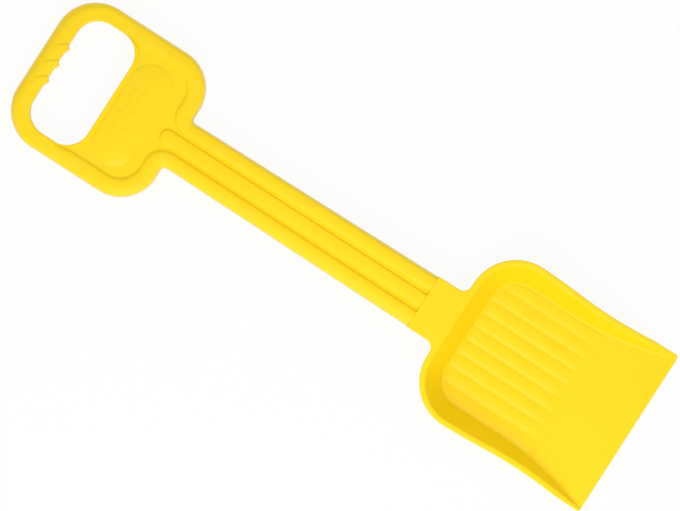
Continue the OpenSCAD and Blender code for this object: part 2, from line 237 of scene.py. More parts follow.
# Plastic
BODY_COLOUR = (0.99, 0.7, 0.005)
BODY_DEEP_COLOUR = (0.98, 0.68, 0.004)
PIN_COLOUR = (0.93, 0.6, 0.006)
PIN_DEEP_COLOUR = (0.9, 0.57, 0.005)
SPECULAR_LEVEL = 0.26
# Painted shade: shares of the colour that edges and walls are darkened to where they turn away from view, and
# the facing range over which this darkening ramps in
HANDLE_PAINTED_EDGE_SHADE = 0.85
SCOOP_PAINTED_EDGE_SHADE = 0.45
PAINTED_SHADE_FACING_LOW = 0.86
PAINTED_SHADE_FACING_HIGH = 0.98
PAINTED_SHADE_BLEND = 0.5
MOTTLE_SCALE = 22
MOTTLE_DETAIL = 4
MOTTLE_LOW = -0.4
MOTTLE_HIGH = 1.2
GRAIN_SCALE = 260
GRAIN_DETAIL = 3
ROUGHNESS_LOW = 0.3
ROUGHNESS_HIGH = 0.46
RIPPLE_SCALE = 900
RIPPLE_DETAIL = 2
RIPPLE_STRENGTH = 0.12
RIPPLE_HEIGHT_M = 0.0002

# Light, stage and camera, in metres, watts, degrees and millimetres of lens
SKY_LEVEL = 0.76
STAGE_HALF_M = 6
STAGE_DROP_M = 0.0002
STAGE_WHITE = 0.9
SHADOW_SHARE = 0.08
KEY_PLACE = Vector((0.24, -0.56, 0.74))
KEY_SIZE = 0.7
KEY_POWER = 4.1
CAMERA_X = 0.0081
CAMERA_Y = -0.0042
CAMERA_H = 6.022
CAMERA_ROLL = 32.72
CAMERA_LENS = 447.4


def smooth(share):
    """Smooth step from 0 to 1."""
    share = min(1, max(0, share))
    return share * share * (3 - 2 * share)


def spaced(start, stop, step):
    """Even places from start to stop, about step apart, with both ends."""
    count = max(1, round(abs(stop - start) / step))
    return [start + (stop - start) * i / count for i in range(count + 1)]


def turned(angle):
    """Unit direction at an angle in degrees."""
    return math.cos(math.radians(angle)), math.sin(math.radians(angle))


def along(sample, distance):
    """The point at a distance from a sample's place, in the sample's direction."""
    (x, y), (dx, dy) = sample
    return x + dx * distance, y + dy * distance


def arc_samples(centre, radius, start, stop, step, inward):
    """Samples of an arc, whose directions point away from its centre, or towards it where inward is true."""
    samples = []
    for angle in spaced(start, stop, step):
        dx, dy = turned(angle)
        sign = -1 if inward else 1
        samples.append(((centre[0] + radius * dx, centre[1] + radius * dy), (sign * dx, sign * dy)))
    return samples


def mirrored(samples):
    """The same samples on the other side of the shovel's middle, in reverse order."""
    return [((x, -y), (dx, -dy)) for (x, y), (dx, dy) in reversed(samples)]


def bezier(a, b, c, steps):
    """Points of a quadratic curve from a to c with the corner b."""
    points = []
    for i in range(steps + 1):
        t = i / steps
        points.append(tuple((1 - t) ** 2 * p + 2 * t * (1 - t) * q + t * t * r for p, q, r in zip(a, b, c)))
    return points


def between(start, stop, steps):
    """The points inside a straight line, without its ends."""
    return [tuple(a + (b - a) * i / steps for a, b in zip(start, stop)) for i in range(1, steps)]


class Shape:
    """One closed mesh, gathered patch by patch and welded at the end."""

    def __init__(self):
        self.mesh = bmesh.new()

    def grid(self, rows):
        """Quads between successive rows of points, which are all as long."""
        made = [[self.mesh.verts.new(p) for p in row] for row in rows]
        for low, high in zip(made, made[1:]):
            for i in range(len(low) - 1):
                self.mesh.faces.new((low[i], low[i + 1], high[i + 1], high[i]))

    def face(self, loop):
        """One face round a loop of points."""
        self.mesh.faces.new([self.mesh.verts.new(p) for p in loop])

    def fill(self, loops):
        """Triangles inside the first loop and outside the others, seen from above."""
        points = [p for loop in loops for p in loop]
        edges = []
        for loop in loops:
            first = len(edges)
            edges += [(first + i, first + (i + 1) % len(loop)) for i in range(len(loop))]
        flat = [Vector(p[:2]) for p in points]
        places, _, triangles, origins, _, _ = delaunay_2d_cdt(flat, edges, [], 0, FILL_MERGE)
        made = [self.mesh.verts.new(points[origin[0]]) for origin in origins]
        for triangle in triangles:
            middle = sum((places[i] for i in triangle), Vector((0, 0))) / 3
            if inside(middle, loops[0]) and not any(inside(middle, hole) for hole in loops[1:]):
                self.mesh.faces.new([made[i] for i in triangle])

    def done(self, name):
        """Welds the patches and returns the object, in metres."""
        bmesh.ops.remove_doubles(self.mesh, verts=self.mesh.verts, dist=WELD)
        bmesh.ops.dissolve_degenerate(self.mesh, edges=self.mesh.edges, dist=SLIVER)
        bmesh.ops.recalc_face_normals(self.mesh, faces=self.mesh.faces)
        bmesh.ops.scale(self.mesh, verts=self.mesh.verts, vec=(MM, MM, MM))
        data = bpy.data.meshes.new(name)
        self.mesh.to_mesh(data)
        self.mesh.free()
        made = bpy.data.objects.new(name, data)
        bpy.context.scene.collection.objects.link(made)
        return made


def inside(point, loop):
    """Whether a point lies inside a loop, seen from above."""
    odd = False
    for a, b in zip(loop, loop[1:] + loop[:1]):
        if (a[1] > point[1]) != (b[1] > point[1]):
            if point[0] < a[0] + (b[0] - a[0]) * (point[1] - a[1]) / (b[1] - a[1]):
                odd = not odd
    return odd


def prism(name, outline, low, high):
    """A closed upright solid over an outline, whose low and high faces are functions of x."""
    shape = Shape()
    bottom = [(x, y, low(x)) for x, y in outline]
    top = [(x, y, high(x)) for x, y in outline]
    shape.face(bottom)
    shape.face(top)
    shape.grid([bottom + bottom[:1], top + top[:1]])
    return shape.done(name)


def side_prism(name, profile, half):
    """A closed solid over a profile of x and z, as wide as twice half."""
    shape = Shape()
    near = [(x, -half, z) for x, z in profile]
    far = [(x, half, z) for x, z in profile]
    shape.face(near)
    shape.face(far)
    shape.grid([near + near[:1], far + far[:1]])
    return shape.done(name)


def box(name, low, high):
    """A closed box between two corners."""
    outline = [(low[0], low[1]), (high[0], low[1]), (high[0], high[1]), (low[0], high[1])]
    return prism(name, outline, lambda x: low[2], lambda x: high[2])


def rod(name, centre, radius, low, high):
    """A closed upright cylinder."""
    outline = [place for place, _ in arc_samples(centre, radius, 0, 360, ROD_ARC_STEP, False)[:-1]]
    return prism(name, outline, lambda x: low, lambda x: high)


def combine(body, operation, tools):
    """Adds tools to a body or cuts them from it, one after another, and deletes them."""
    for tool in tools:
        step = body.modifiers.new(operation.lower(), "BOOLEAN")
        step.operation = operation
        step.solver = "EXACT"
        step.object = tool
        graph = bpy.context.evaluated_depsgraph_get()
        result = bpy.data.meshes.new_from_object(body.evaluated_get(graph))
        body.modifiers.clear()
        body.data = result
        bpy.data.objects.remove(tool)
    return body


def close_slits(piece):
    """Closes the small slits that cutting can leave between long thin faces."""
    mesh = bmesh.new()
    mesh.from_mesh(piece.data)
    slits = [edge for edge in mesh.edges if edge.is_boundary]
    bmesh.ops.holes_fill(mesh, edges=slits)
    bmesh.ops.recalc_face_normals(mesh, faces=mesh.faces)
    mesh.to_mesh(piece.data)
    mesh.free()


def finished(piece, material, node):
    """Smooths a piece's shading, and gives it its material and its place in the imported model."""
    close_slits(piece)
    piece.data.shade_smooth()
    piece.data.set_sharp_from_angle(angle=math.radians(SHARP_ANGLE))
    normals = piece.modifiers.new("face_weighted_normals", "WEIGHTED_NORMAL")
    normals.keep_sharp = True
    normals.weight = NORMAL_WEIGHT
    piece.data.materials.clear()
    piece.data.materials.append(material)
    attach(piece, "root")
    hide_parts(node)
    return piece


# Handle: heights
def border_z(x):
    """Height of the raised border, which falls evenly from the socket to the grip."""
    return GRIP_H + (BORDER_TOP - GRIP_H) * (x - GRIP_X) / (SEAM_X - GRIP_X)


def border_inset(x):
    """Width of the raised border, with its slope down to the recess. It grows from the end of the arms."""
    past = x - OPENING_X1 + OPENING_R - BORDER_GROW_AFTER
    return ARM_W + (BORDER_W - ARM_W) * smooth(past / BORDER_GROW_L)


def recess_share(x):
    """How far the recess has grown, from 0 at the end of the arms to 1."""
    return smooth((x - OPENING_X1 + OPENING_R) / RECESS_GROW_L)


def recess_drop(x):
    """Depth of the recess below the raised border."""
    return INNER_R + (RECESS_D - INNER_R) * recess_share(x)


def border_crown(x):
    """How far both edges of the raised border lie below its middle."""
    return BORDER_CROWN * recess_share(x)


def floor_z(x):
    """Height of the recess's floor."""
    return border_z(x) - recess_drop(x)


def stop_places():
    """Places of the finger stops along the grip bar."""
    return [STOP_SHIFT + (i - (STOP_COUNT - 1) / 2) * STOP_PITCH for i in range(STOP_COUNT)]


def stop_bulge(y):
    """How far the finger stops stand into the hand opening. Their side towards +Y is the steeper one."""
    bulge = 0
    for place in stop_places():
        width = STOP_STEEP_W if y > place else STOP_GENTLE_W
        bulge = max(bulge, STOP_H * smooth(1 - abs(y - place) / width))
    return bulge


def grip_relief(x, y):
    """Height of the slanting steps that the finger stops make across the grip bar."""
    reach = smooth((x - GRIP_X - RELIEF_L) / RELIEF_L) * (x < OPENING_X0 + STOP_H + SLACK)
    rise = 0
    for place in stop_places():
        crease = place + CREASE_LEAD + CREASE_SLANT * (x - OPENING_X0)
        behind = crease - y
        step = smooth(behind / CREASE_W) * (1 - smooth(behind / STOP_PITCH))
        rise = max(rise, CREASE_STEP * step)
    return rise * reach


# Handle: outlines
def outline_samples():
    """Half of the outline of head and shaft, from the seam to the middle of the grip, pointing inwards."""
    turn = (SHAFT_X + JUNCTION_R, SHAFT_HEAD_W / 2 + JUNCTION_R)
    samples = []
    for x in spaced(SEAM_X, turn[0], LONG_STEP)[:-1]:
        share = (x - turn[0]) / (SEAM_X - turn[0])
        half = (SHAFT_HEAD_W + (SHAFT_NECK_W - SHAFT_HEAD_W) * share) / 2
        inner = GROOVE_HALF + GROOVE_SPREAD * share
        samples.append(((x, half), (0, -(half - inner) / BORDER_W)))
    narrow = (SHAFT_HEAD_W / 2 - GROOVE_HALF) / BORDER_W
    for place, (dx, dy) in arc_samples(turn, JUNCTION_R, 270, 180, SMALL_ARC_STEP, False):
        share = narrow + (1 - narrow) * smooth(-dx)
        samples.append((place, (dx * share, dy * share)))
    corner = (SHAFT_X - SHAFT_CORNER_R, HEAD_W / 2 - SHAFT_CORNER_R)
    samples += [((SHAFT_X, y), (-1, 0)) for y in spaced(turn[1], corner[1], SIDE_STEP)[1:-1]]
    samples += arc_samples(corner, SHAFT_CORNER_R, 0, 90, CORNER_ARC_STEP, True)
    arm_x = OPENING_X1 - OPENING_R
    grip_corner = (GRIP_X + GRIP_CORNER_R, HEAD_W / 2 - GRIP_CORNER_R)
    samples += [((x, HEAD_W / 2), (0, -1)) for x in spaced(corner[0], arm_x, SIDE_STEP)[1:]]
    samples += [((x, HEAD_W / 2), (0, -1)) for x in spaced(arm_x, grip_corner[0], SIDE_STEP)[1:-1]]
    samples += arc_samples(grip_corner, GRIP_CORNER_R, 90, 180, CORNER_ARC_STEP, True)
    samples += [((GRIP_X, y), (1, 0)) for y in spaced(grip_corner[1], 0, FINE_STEP)[1:]]
    return samples


def opening_sample(sample):
    """The place of the hand opening's edge across the bar from an outline sample, pointing into the bar."""
    (x, y), (dx, dy) = sample
    side = 1 if y >= 0 else -1
    corner = (GRIP_X + GRIP_CORNER_R, HEAD_W / 2 - GRIP_CORNER_R)
    arm_x = OPENING_X1 - OPENING_R
    corner_x = OPENING_X0 + OPENING_R
    corner_y = OPENING_HALF - OPENING_R
    if x >= corner[0]:
        share = (arm_x - x) / (arm_x - corner[0])
        return (arm_x + (corner_x - arm_x) * share, side * OPENING_HALF), (0, side)
    if abs(y) > corner[1]:
        return (corner_x - OPENING_R * dx, side * corner_y - OPENING_R * dy), (-dx, -dy)
    edge_y = y * corner_y / corner[1]
    return (OPENING_X0 + stop_bulge(edge_y), edge_y), (-1, 0)


def lip_samples():
    """The hand opening's edge beside the recess, from arm to arm, pointing away from the opening."""
    centre = (OPENING_X1 - OPENING_R, OPENING_HALF - OPENING_R)
    samples = arc_samples(centre, OPENING_R, 90, 0, LIP_ARC_STEP, False)
    samples += [((OPENING_X1, y), (1, 0)) for y in spaced(centre[1], 0, SIDE_STEP)[1:]]
    return samples + mirrored(samples)[1:]


def shoulder_radius(sample):
    """Radius of the outline's upper edge, which is larger along the grip."""
    on_grip = smooth(sample[1][0]) * (sample[0][0] < SHAFT_X - SHAFT_CORNER_R)
    return EDGE_R + (GRIP_EDGE_R - EDGE_R) * on_grip


def border_section(sample):
    """Section of the raised border at an outline sample, from its foot over to the recess or opening."""
    radius = shoulder_radius(sample)
    at_recess = sample[0][0] > OPENING_X1 - OPENING_R
    points = [(*along(sample, FOOT_R), 0), (*along(sample, 0), FOOT_R)]
    for i in range(SHOULDER_STEPS + 1):
        across, up = turned(90 * i / SHOULDER_STEPS)
        x, y = along(sample, DRAFT + radius * (1 - across))
        points.append((x, y, border_z(x) - border_crown(x) - radius * (1 - up)))
    start = along(sample, DRAFT + radius)
    edge = opening_sample(sample)
    inset = border_inset(sample[0][0])
    stop = along(sample, inset - BORDER_SLOPE_W) if at_recess else along(edge, INNER_R)
    for i in range(1, FLAT_STEPS + 1):
        share = i / FLAT_STEPS
        x, y = (a + (b - a) * share for a, b in zip(start, stop))
        points.append((x, y, border_z(x) + grip_relief(x, y) - border_crown(x) * (2 * share - 1) ** 2))
    for i in range(1, INNER_STEPS + 1):
        share = i / INNER_STEPS
        across, up = turned(90 * share)
        if at_recess:
            x, y = along(sample, inset - BORDER_SLOPE_W * (1 - share))
            drop = border_crown(x) + (recess_drop(x) - border_crown(x)) * smooth(share)
            points.append((x, y, border_z(x) - drop))
        else:
            x, y = along(edge, INNER_R * (1 - up))
            points.append((x, y, border_z(x) + grip_relief(x, y) * across - INNER_R * (1 - across)))
    return points


def lip_section(sample, distance):
    """Section of the lip at a distance from the lip's nearer end, from the opening's edge to the recess."""
    width = LIP_W * smooth(distance / LIP_GROW_L) ** 2
    radius = min(LIP_EDGE_R, width * LIP_EDGE_SHARE)
    points = []
    for i in range(LIP_EDGE_STEPS + 1):
        across, up = turned(90 - 90 * i / LIP_EDGE_STEPS)
        x, y = along(sample, radius * (1 - up))
        points.append((x, y, border_z(x) - INNER_R - radius * (1 - across)))
    for i in range(1, LIP_SLOPE_STEPS + 1):
        share = i / LIP_SLOPE_STEPS
        x, y = along(sample, width / 2 + width / 2 * share)
        points.append((x, y, border_z(x) - INNER_R - (recess_drop(x) - INNER_R) * smooth(share)))
    return points


def lip_sections():
    """Sections along the whole lip."""
    samples = lip_samples()
    run = [0]
    for a, b in zip(samples, samples[1:]):
        run.append(run[-1] + math.dist(a[0], b[0]))
    return [lip_section(sample, min(s, run[-1] - s)) for sample, s in zip(samples, run)]


def ridge_samples():
    """Outline of the ridge from the seam round its tip and back, pointing inwards."""
    tip_x = SHAFT_X - RIDGE_REACH
    centre = (tip_x + RIDGE_W / 2, 0)
    half = [((x, RIDGE_W / 2), (0, -1)) for x in spaced(SEAM_X, centre[0], LONG_STEP)[:-1]]
    half += arc_samples(centre, RIDGE_W / 2, 90, 180, SMALL_ARC_STEP, True)
    return half + mirrored(half)[1:]


def ridge_crown(a, b):
    """Points across the ridge's top from a to b, which is higher in the middle."""
    rise = RIDGE_CROWN * (math.dist(a, b) / (RIDGE_W - 2 * RIDGE_SIDE_W)) ** 2
    row = []
    for share in spaced(0, 1, 1 / RIDGE_STEPS):
        x, y, z = (p + (q - p) * share for p, q in zip(a, b))
        row.append((x, y, z + rise * (1 - (2 * share - 1) ** 2)))
    return row


def panel_samples():
    """Outline of the oval panel, a closed loop, pointing inwards."""
    x = OPENING_X1 + LIP_W + PANEL_L / 2 + FIT_GAP
    y = (PANEL_W - PANEL_L) / 2
    half = [((x + PANEL_L / 2, place), (-1, 0)) for place in spaced(0, y, COLUMN_STEP)[:-1]]
    half += arc_samples((x, y), PANEL_L / 2, 0, 180, PANEL_ARC_STEP, True)
    half += [((x - PANEL_L / 2, place), (1, 0)) for place in spaced(y, 0, COLUMN_STEP)[1:]]
    return half + mirrored(half)[1:]


def panel_z(x, y, inset):
    """Height of the oval panel above the recess: a soft step, a crown and three wavy lines."""
    middle = OPENING_X1 + LIP_W + PANEL_L / 2
    rise = PANEL_STEP * smooth(inset / PANEL_STEP_W)
    rise += PANEL_CROWN * math.sin(math.pi / 2 * inset / (PANEL_L / 2))
    swing = WAVE_SWING * math.sin(2 * math.pi * y / WAVE_L)
    for line in (-1, 0, 1):
        off = abs(x - middle - line * WAVE_GAP - swing) / WAVE_HALF_W
        ends = smooth((WAVE_REACH - abs(y) - WAVE_TAPER * abs(line)) / WAVE_FADE_L)
        rise += WAVE_H * smooth(1 - off) * ends
    return rise


def make_handle_body():
    """The handle's outer form: border, opening, recess, ridge and panel, closed below and at the seam."""
    shape = Shape()
    half = outline_samples()
    samples = half + mirrored(half)[1:]
    sections = [border_section(sample) for sample in samples]
    shape.grid(sections)
    arms = [i for i, sample in enumerate(samples) if sample[0][0] <= OPENING_X1 - OPENING_R]
    first, last = arms[0], arms[-1]

    lips = lip_sections()
    shape.grid(lips)
    edge_top = [section[-1] for section in sections[first:last + 1]] + [section[0] for section in lips[::-1]]
    edge_samples = [opening_sample(sample) for sample in samples[first:last + 1]] + lip_samples()[::-1]
    wall = [edge_top,
            [(*along(s, 0), FOOT_R) for s in edge_samples],
            [(*along(s, FOOT_R), 0) for s in edge_samples]]
    shape.grid(wall)

    ridge = ridge_samples()
    ridge_h = RECESS_D - RIDGE_DROP
    ridge_rows = []
    for i in range(RIDGE_SIDE_STEPS + 1):
        share = i / RIDGE_SIDE_STEPS
        row = []
        for sample in ridge:
            x, y = along(sample, RIDGE_SIDE_W * share)
            row.append((x, y, floor_z(x) + ridge_h * smooth(share)))
        ridge_rows.append(row)
    shape.grid(ridge_rows)
    top = ridge_rows[-1]
    crown_rows = [ridge_crown(a, b) for a, b in zip(top, reversed(top))][:len(top) // 2 + 1]
    shape.grid(crown_rows)

    panel = panel_samples()
    panel_rows = []
    for inset in spaced(0, PANEL_L / 2, FINE_STEP):
        row = []
        for sample in panel:
            x, y = along(sample, inset)
            row.append((x, y, floor_z(x) + panel_z(x, y, inset)))
        panel_rows.append(row)
    shape.grid(panel_rows)

    recess = [section[-1] for section in sections[first::-1]] + ridge_rows[0]
    recess += [section[-1] for section in sections[:last - 1:-1]] + [section[-1] for section in lips[-2:0:-1]]
    shape.fill([recess, panel_rows[0][:-1]])

    end = sections[0] + [row[0] for row in ridge_rows] + crown_rows[0][1:-1]
    end += [row[-1] for row in reversed(ridge_rows)]
    shape.face(end + sections[-1][::-1])
    shape.fill([[section[0] for section in sections], wall[-1][:-1]])
    return shape.done("handle_moulding")


def inset_outline(inset, end_x):
    """The outline of head and shaft up to end_x, moved in by inset, as a closed loop."""
    half = [sample for sample in outline_samples() if sample[0][0] < end_x - END_CLEAR]
    half = [((end_x, half[0][0][1]), (0, -1))] + half
    return [along(sample, inset) for sample in half + mirrored(half)[1:]]


def opening_outline(outset):
    """The hand opening, moved out by outset, as a closed loop."""
    half = outline_samples()
    grip = [s for s in half + mirrored(half)[1:] if s[0][0] <= OPENING_X1 - OPENING_R]
    samples = [opening_sample(sample) for sample in grip] + lip_samples()[-2:0:-1]
    return [along(sample, outset) for sample in samples]


def make_handle_space():
    """The space inside the handle, open at the back, round its ribs and the walls of opening and recess."""
    far_z = RIM_H + WALL
    end_x = SEAM_X - WALL
    space = prism("space", inset_outline(WALL + DRAFT, end_x), lambda x: -WALL, lambda x: border_z(x) - WALL)
    recess_inset = BORDER_W - BORDER_SLOPE_W - WALL
    recess = [p for p in inset_outline(recess_inset, SEAM_X) if p[0] > OPENING_X1 - OPENING_R]
    kept = [prism("recess", recess, lambda x: border_z(x) - RECESS_D - WALL, lambda x: far_z)]
    kept.append(prism("opening_wall", opening_outline(WALL), lambda x: -2 * WALL, lambda x: far_z))
    kept.append(box("long_rib", (OPENING_X1, -RIB_T / 2, RIB_CLEAR), (SEAM_X, RIB_T / 2, far_z)))
    rib_x = SHAFT_X + RIB_PITCH / 2
    while rib_x < end_x:
        low = (rib_x - RIB_T / 2, -SHAFT_NECK_W / 2, RIB_CLEAR)
        kept.append(box("rib", low, (rib_x + RIB_T / 2, SHAFT_NECK_W / 2, far_z)))
        rib_x += RIB_PITCH
    return combine(space, "DIFFERENCE", kept)


def pin_places():
    """Places of the two push pins."""
    return [(PIN_X, side * PIN_SPACING / 2) for side in (-1, 1)]


def make_handle(material):
    """The handle moulding: grip, head, hollow shaft, and the tenon in the scoop's socket."""
    body = combine(make_handle_body(), "DIFFERENCE", [make_handle_space()])
    half = SOCKET_W / 2 - FIT_GAP
    low_z = BACK_PLATE_T + FIT_GAP
    top_z = SOCKET_TOP - FIT_GAP
    tenon = box("tenon", (SEAM_X - WALL / 2, -half, low_z), (TENON_END_X, half, top_z))
    hollow_low = (SEAM_X + WALL / 2, -half + WALL, low_z - WALL)
    hollow = box("hollow", hollow_low, (TENON_END_X - WALL, half - WALL, top_z - WALL))
    bosses = [rod("boss", place, PIN_D / 2 + WALL, 0, RIM_H) for place in pin_places()]
    bores = [rod("bore", place, PIN_D / 2 + PIN_FIT, 0, PIN_END_Z) for place in pin_places()]
    tenon = combine(tenon, "DIFFERENCE", [combine(hollow, "DIFFERENCE", bosses)] + bores)
    body = combine(body, "UNION", [tenon])
    return finished(body, material, "handle")


# Scoop: heights and widths
def floor_half(x):
    """Half width of the scoop's floor, which spreads towards the edge."""
    return FLOOR_W / 2 + (EDGE_W - FLOOR_W) / 2 * max(0, 1 - (EDGE_X - x) / FLARE_L) ** FLARE_CURVE


def rim_share(x):
    """Height of the rim as a share of its height at the back."""
    share = min(1, max(0, 1 - (EDGE_X - x) / RIM_FALL_L))
    return 1 - (1 - RIM_END_SHARE) * share ** RIM_CURVE


def floor_top(x):
    """Height of the plain floor, with the bevel along the scoop's edge."""
    return FLOOR_T - (FLOOR_T - EDGE_T) * max(0, (x - EDGE_X + BEVEL_L) / BEVEL_L)


def rim_reach(x):
    """Reach of the inner and the outer edge of the rim from the foot of the wall."""
    inner = (RIM_H - FLOOR_T) * rim_share(x) * WALL_SLOPE
    return inner, inner + FOOT_OUT + (BEAD_W - FOOT_OUT) * min(1, rim_share(x) / BEAD_FULL_SHARE)


def back_distance(x, y):
    """Distance of a place on the floor from the foot of the back wall."""
    past = max(0, abs(y) - CORNER_Y)
    if x > SIDE_X or past == 0:
        return x - BACK_FOOT_X
    return FLOOR_CORNER_R - math.hypot(SIDE_X - x, past)


def reed_z(x, y):
    """Height of the reeds above the floor."""
    share = (y / FLOOR_W + 0.5) * REED_COUNT % 1
    begin = min(1, max(0, back_distance(x, y) / REED_START_L))
    end = smooth((BACK_FOOT_X + REED_L - x) / REED_FADE_L)
    return REED_H * (1 - abs(2 * share - 1) ** REED_POWER) * math.sqrt(1 - (1 - begin) ** 2) * end


def floor_point(x, y):
    """A point on the top of the floor."""
    height = reed_z(x, y) if abs(y) < FLOOR_W / 2 else 0
    return x, y, floor_top(x) + height


def wall_section(sample):
    """Section of the wall at a place along its foot, from the floor over the rim to the back of the floor."""
    x = sample[0][0]
    share = rim_share(x)
    full = min(1, share / BEAD_FULL_SHARE)
    floor = floor_top(x)
    rim_z = floor + (RIM_H - FLOOR_T) * share
    inner, outer = rim_reach(x)
    radius = BEAD_R * full
    fillet = min(1, (rim_z - floor) / BEAD_H) * FOOT_FILLET
    start_x, start_y = along(sample, -FOOT_FILLET)
    foot = (-FOOT_FILLET, floor_point(start_x, start_y)[2])
    wall_low = (fillet * WALL_SLOPE, floor + fillet)
    wall_high = (inner - radius * WALL_SLOPE, rim_z - radius)
    under_z = max(rim_z - BEAD_H * full, EDGE_T * share)
    under = (FOOT_OUT + under_z * WALL_SLOPE * full, under_z)
    side_z = max(rim_z - (BEAD_H - radius / 2) * full, under_z)
    points = bezier(foot, (0, floor), wall_low, FOOT_STEPS)
    points += between(wall_low, wall_high, WALL_STEPS)
    points += bezier(wall_high, (inner, rim_z), (inner + radius, rim_z), RIM_STEPS)
    points += bezier((outer - radius, rim_z), (outer, rim_z), (outer, rim_z - radius), RIM_STEPS)
    points += bezier((outer, side_z), (outer, under_z), under, UNDER_STEPS)
    low = (FOOT_OUT + FOOT_R * WALL_SLOPE * full, FOOT_R)
    points += between(under, low, BACK_STEPS)
    points += bezier(low, (FOOT_OUT, 0), (FOOT_OUT - FOOT_R, 0), UNDER_STEPS)
    return [(*along(sample, out), z) for out, z in points]


def make_tray():
    """The scoop without its neck: floor with reeds, leaning walls and rim bead."""
    shape = Shape()
    edge_y = FLOOR_W / 2 - FOOT_FILLET
    start_r = FLOOR_CORNER_R - FOOT_FILLET
    angles = spaced(0, 90, ROUND_ARC_STEP)
    corner_y = [CORNER_Y + start_r * turned(angle)[1] for angle in angles[1:]]
    middle_y = spaced(-CORNER_Y, CORNER_Y, COLUMN_STEP)
    columns = [-y for y in corner_y[::-1]] + middle_y + corner_y
    common_x = SIDE_X + REED_START_L
    reed_end = BACK_FOOT_X + REED_L
    fade_x = BACK_FOOT_X + REED_L - REED_FADE_L
    bevel_x = EDGE_X - BEVEL_L
    rows = spaced(common_x, fade_x, LONG_STEP)
    rows += spaced(fade_x, reed_end, SIDE_STEP)[1:]
    rows += spaced(reed_end, bevel_x, FLOOR_STEP)[1:]
    rows += spaced(bevel_x, EDGE_X, COLUMN_STEP)[1:]

    def start_x(y):
        past = max(0, abs(y) - CORNER_Y)
        return SIDE_X - math.sqrt(max(0, start_r ** 2 - past ** 2))

    def column_x(y):
        first = start_x(y)
        return [first + (common_x - first) * share for share in REED_START_SHARES] + rows

    def flare_y(x):
        spread = floor_half(x) - FLOOR_W / 2
        return [edge_y + spread * i / FLARE_STEPS for i in range(FLARE_STEPS + 1)]

    shape.grid([[floor_point(x, y) for x in column_x(y)] for y in columns])

    side_rows = column_x(edge_y)
    flare_rows = [x for x in side_rows if floor_half(x) >= FLOOR_W / 2]
    for side in (-1, 1):
        shape.grid([[floor_point(x, side * y) for y in flare_y(x)] for x in flare_rows])

    half = [((x, floor_half(x)), (0, 1)) for x in reversed(side_rows)]
    for angle in angles[::-1][1:]:
        across, up = turned(angle)
        half.append(((SIDE_X - FLOOR_CORNER_R * across, CORNER_Y + FLOOR_CORNER_R * up), (-across, up)))
    half += [((BACK_FOOT_X, y), (-1, 0)) for y in middle_y[::-1] if 0 <= y < CORNER_Y - WELD]
    samples = half + (mirrored(half)[1:] if half[-1][0][1] == 0 else mirrored(half))
    sections = [wall_section(sample) for sample in samples]
    shape.grid(sections)
    shape.face([section[-1] for section in sections])

    tip_y = flare_y(EDGE_X)
    edge_row = tip_y[::-1] + [y for y in columns[::-1] if abs(y) < edge_y - WELD] + [-y for y in tip_y]
    cap = sections[0][::-1] + [floor_point(EDGE_X, y) for y in edge_row[1:-1]] + sections[-1]
    shape.face(cap)
    return shape.done("scoop_moulding")


def tip_cuts():
    """What is cut from the tray at its edge: the two corners, down to a small radius."""
    half = floor_half(EDGE_X) + rim_reach(EDGE_X)[1]
    centre = (EDGE_X - TIP_CORNER_R, half - TIP_CORNER_R)
    outline = [place for place, _ in arc_samples(centre, TIP_CORNER_R, 0, 90, TIP_ARC_STEP, False)]
    outline += [(centre[0], half + WALL), (EDGE_X + WALL, half + WALL), (EDGE_X + WALL, centre[1])]
    cuts = []
    for side in (-1, 1):
        corner = [(x, side * y) for x, y in outline]
        cuts.append(prism("corner", corner, lambda x: -WALL, lambda x: RIM_H))
    return cuts


def make_neck():
    """The neck: a block behind the scoop, and its top plate with fillets into the rim."""
    half = NECK_W / 2
    end_x = SCOOP_X + BEAD_W / 2
    fillet_x = SCOOP_X - NECK_FILLET_R
    samples = [((x, half), (0, -1)) for x in spaced(SEAM_X + SEAM_LINE, fillet_x, LONG_STEP)[:-1]]
    fillet = (fillet_x, half + NECK_FILLET_R)
    samples += arc_samples(fillet, NECK_FILLET_R, 270, 360, ROUND_ARC_STEP, False)
    samples += [((end_x, half + NECK_FILLET_R), (0, 0))]
    samples += mirrored(samples)
    top_z = RIM_H - WELD
    rows = [[(*along(s, 0), RIM_H - BEAD_H) for s in samples]]
    for i in range(NECK_EDGE_STEPS + 1):
        across, up = turned(90 * i / NECK_EDGE_STEPS)
        row = [(*along(s, NECK_EDGE_R * (1 - across)), top_z - NECK_EDGE_R * (1 - up)) for s in samples]
        rows.append(row)
    plate = Shape()
    plate.grid([row + row[:1] for row in rows])
    plate.face(rows[0])
    plate.face(rows[-1])
    block_half = half - WELD
    block = box("block", (SEAM_X + SEAM_LINE, -block_half, 0), (end_x, block_half, RIM_H - BEAD_H / 2))
    return plate.done("plate"), block


def make_scoop(material):
    """The scoop moulding: tray and socket neck in one."""
    plate, block = make_neck()
    half = NECK_W / 2 - WELD
    root_top = RIM_H - SCOOP_WALL
    wedge = [(SCOOP_X, 0), (BACK_FOOT_X, 0), (BACK_FOOT_X, FLOOR_T / 2),
             (SCOOP_X + BEAD_W, root_top), (SCOOP_X, root_top)]
    root = side_prism("root_fill", wedge, half)
    body = combine(make_tray(), "DIFFERENCE", tip_cuts())
    body = combine(body, "UNION", [block, plate, root])
    hollow = [(SEAM_X - WALL, BACK_PLATE_T), (TENON_END_X + WALL_RUN, BACK_PLATE_T),
              (TENON_END_X + FIT_GAP, SOCKET_TOP), (SEAM_X - WALL, SOCKET_TOP)]
    cuts = [side_prism("socket", hollow, SOCKET_W / 2)]
    pins_low, pins_high = corners("lock_pins")
    head_r = (pins_high.x - pins_low.x) / 2 + FIT_GAP
    for centre in pin_places():
        cuts.append(rod("pin_hole", centre, PIN_D / 2 + FIT_GAP, -WALL, BACK_PLATE_T + WALL))
        cuts.append(rod("head_hole", centre, head_r, -WALL, PIN_HEAD_RECESS))
    body = combine(body, "DIFFERENCE", cuts)
    return finished(body, material, "scoop")


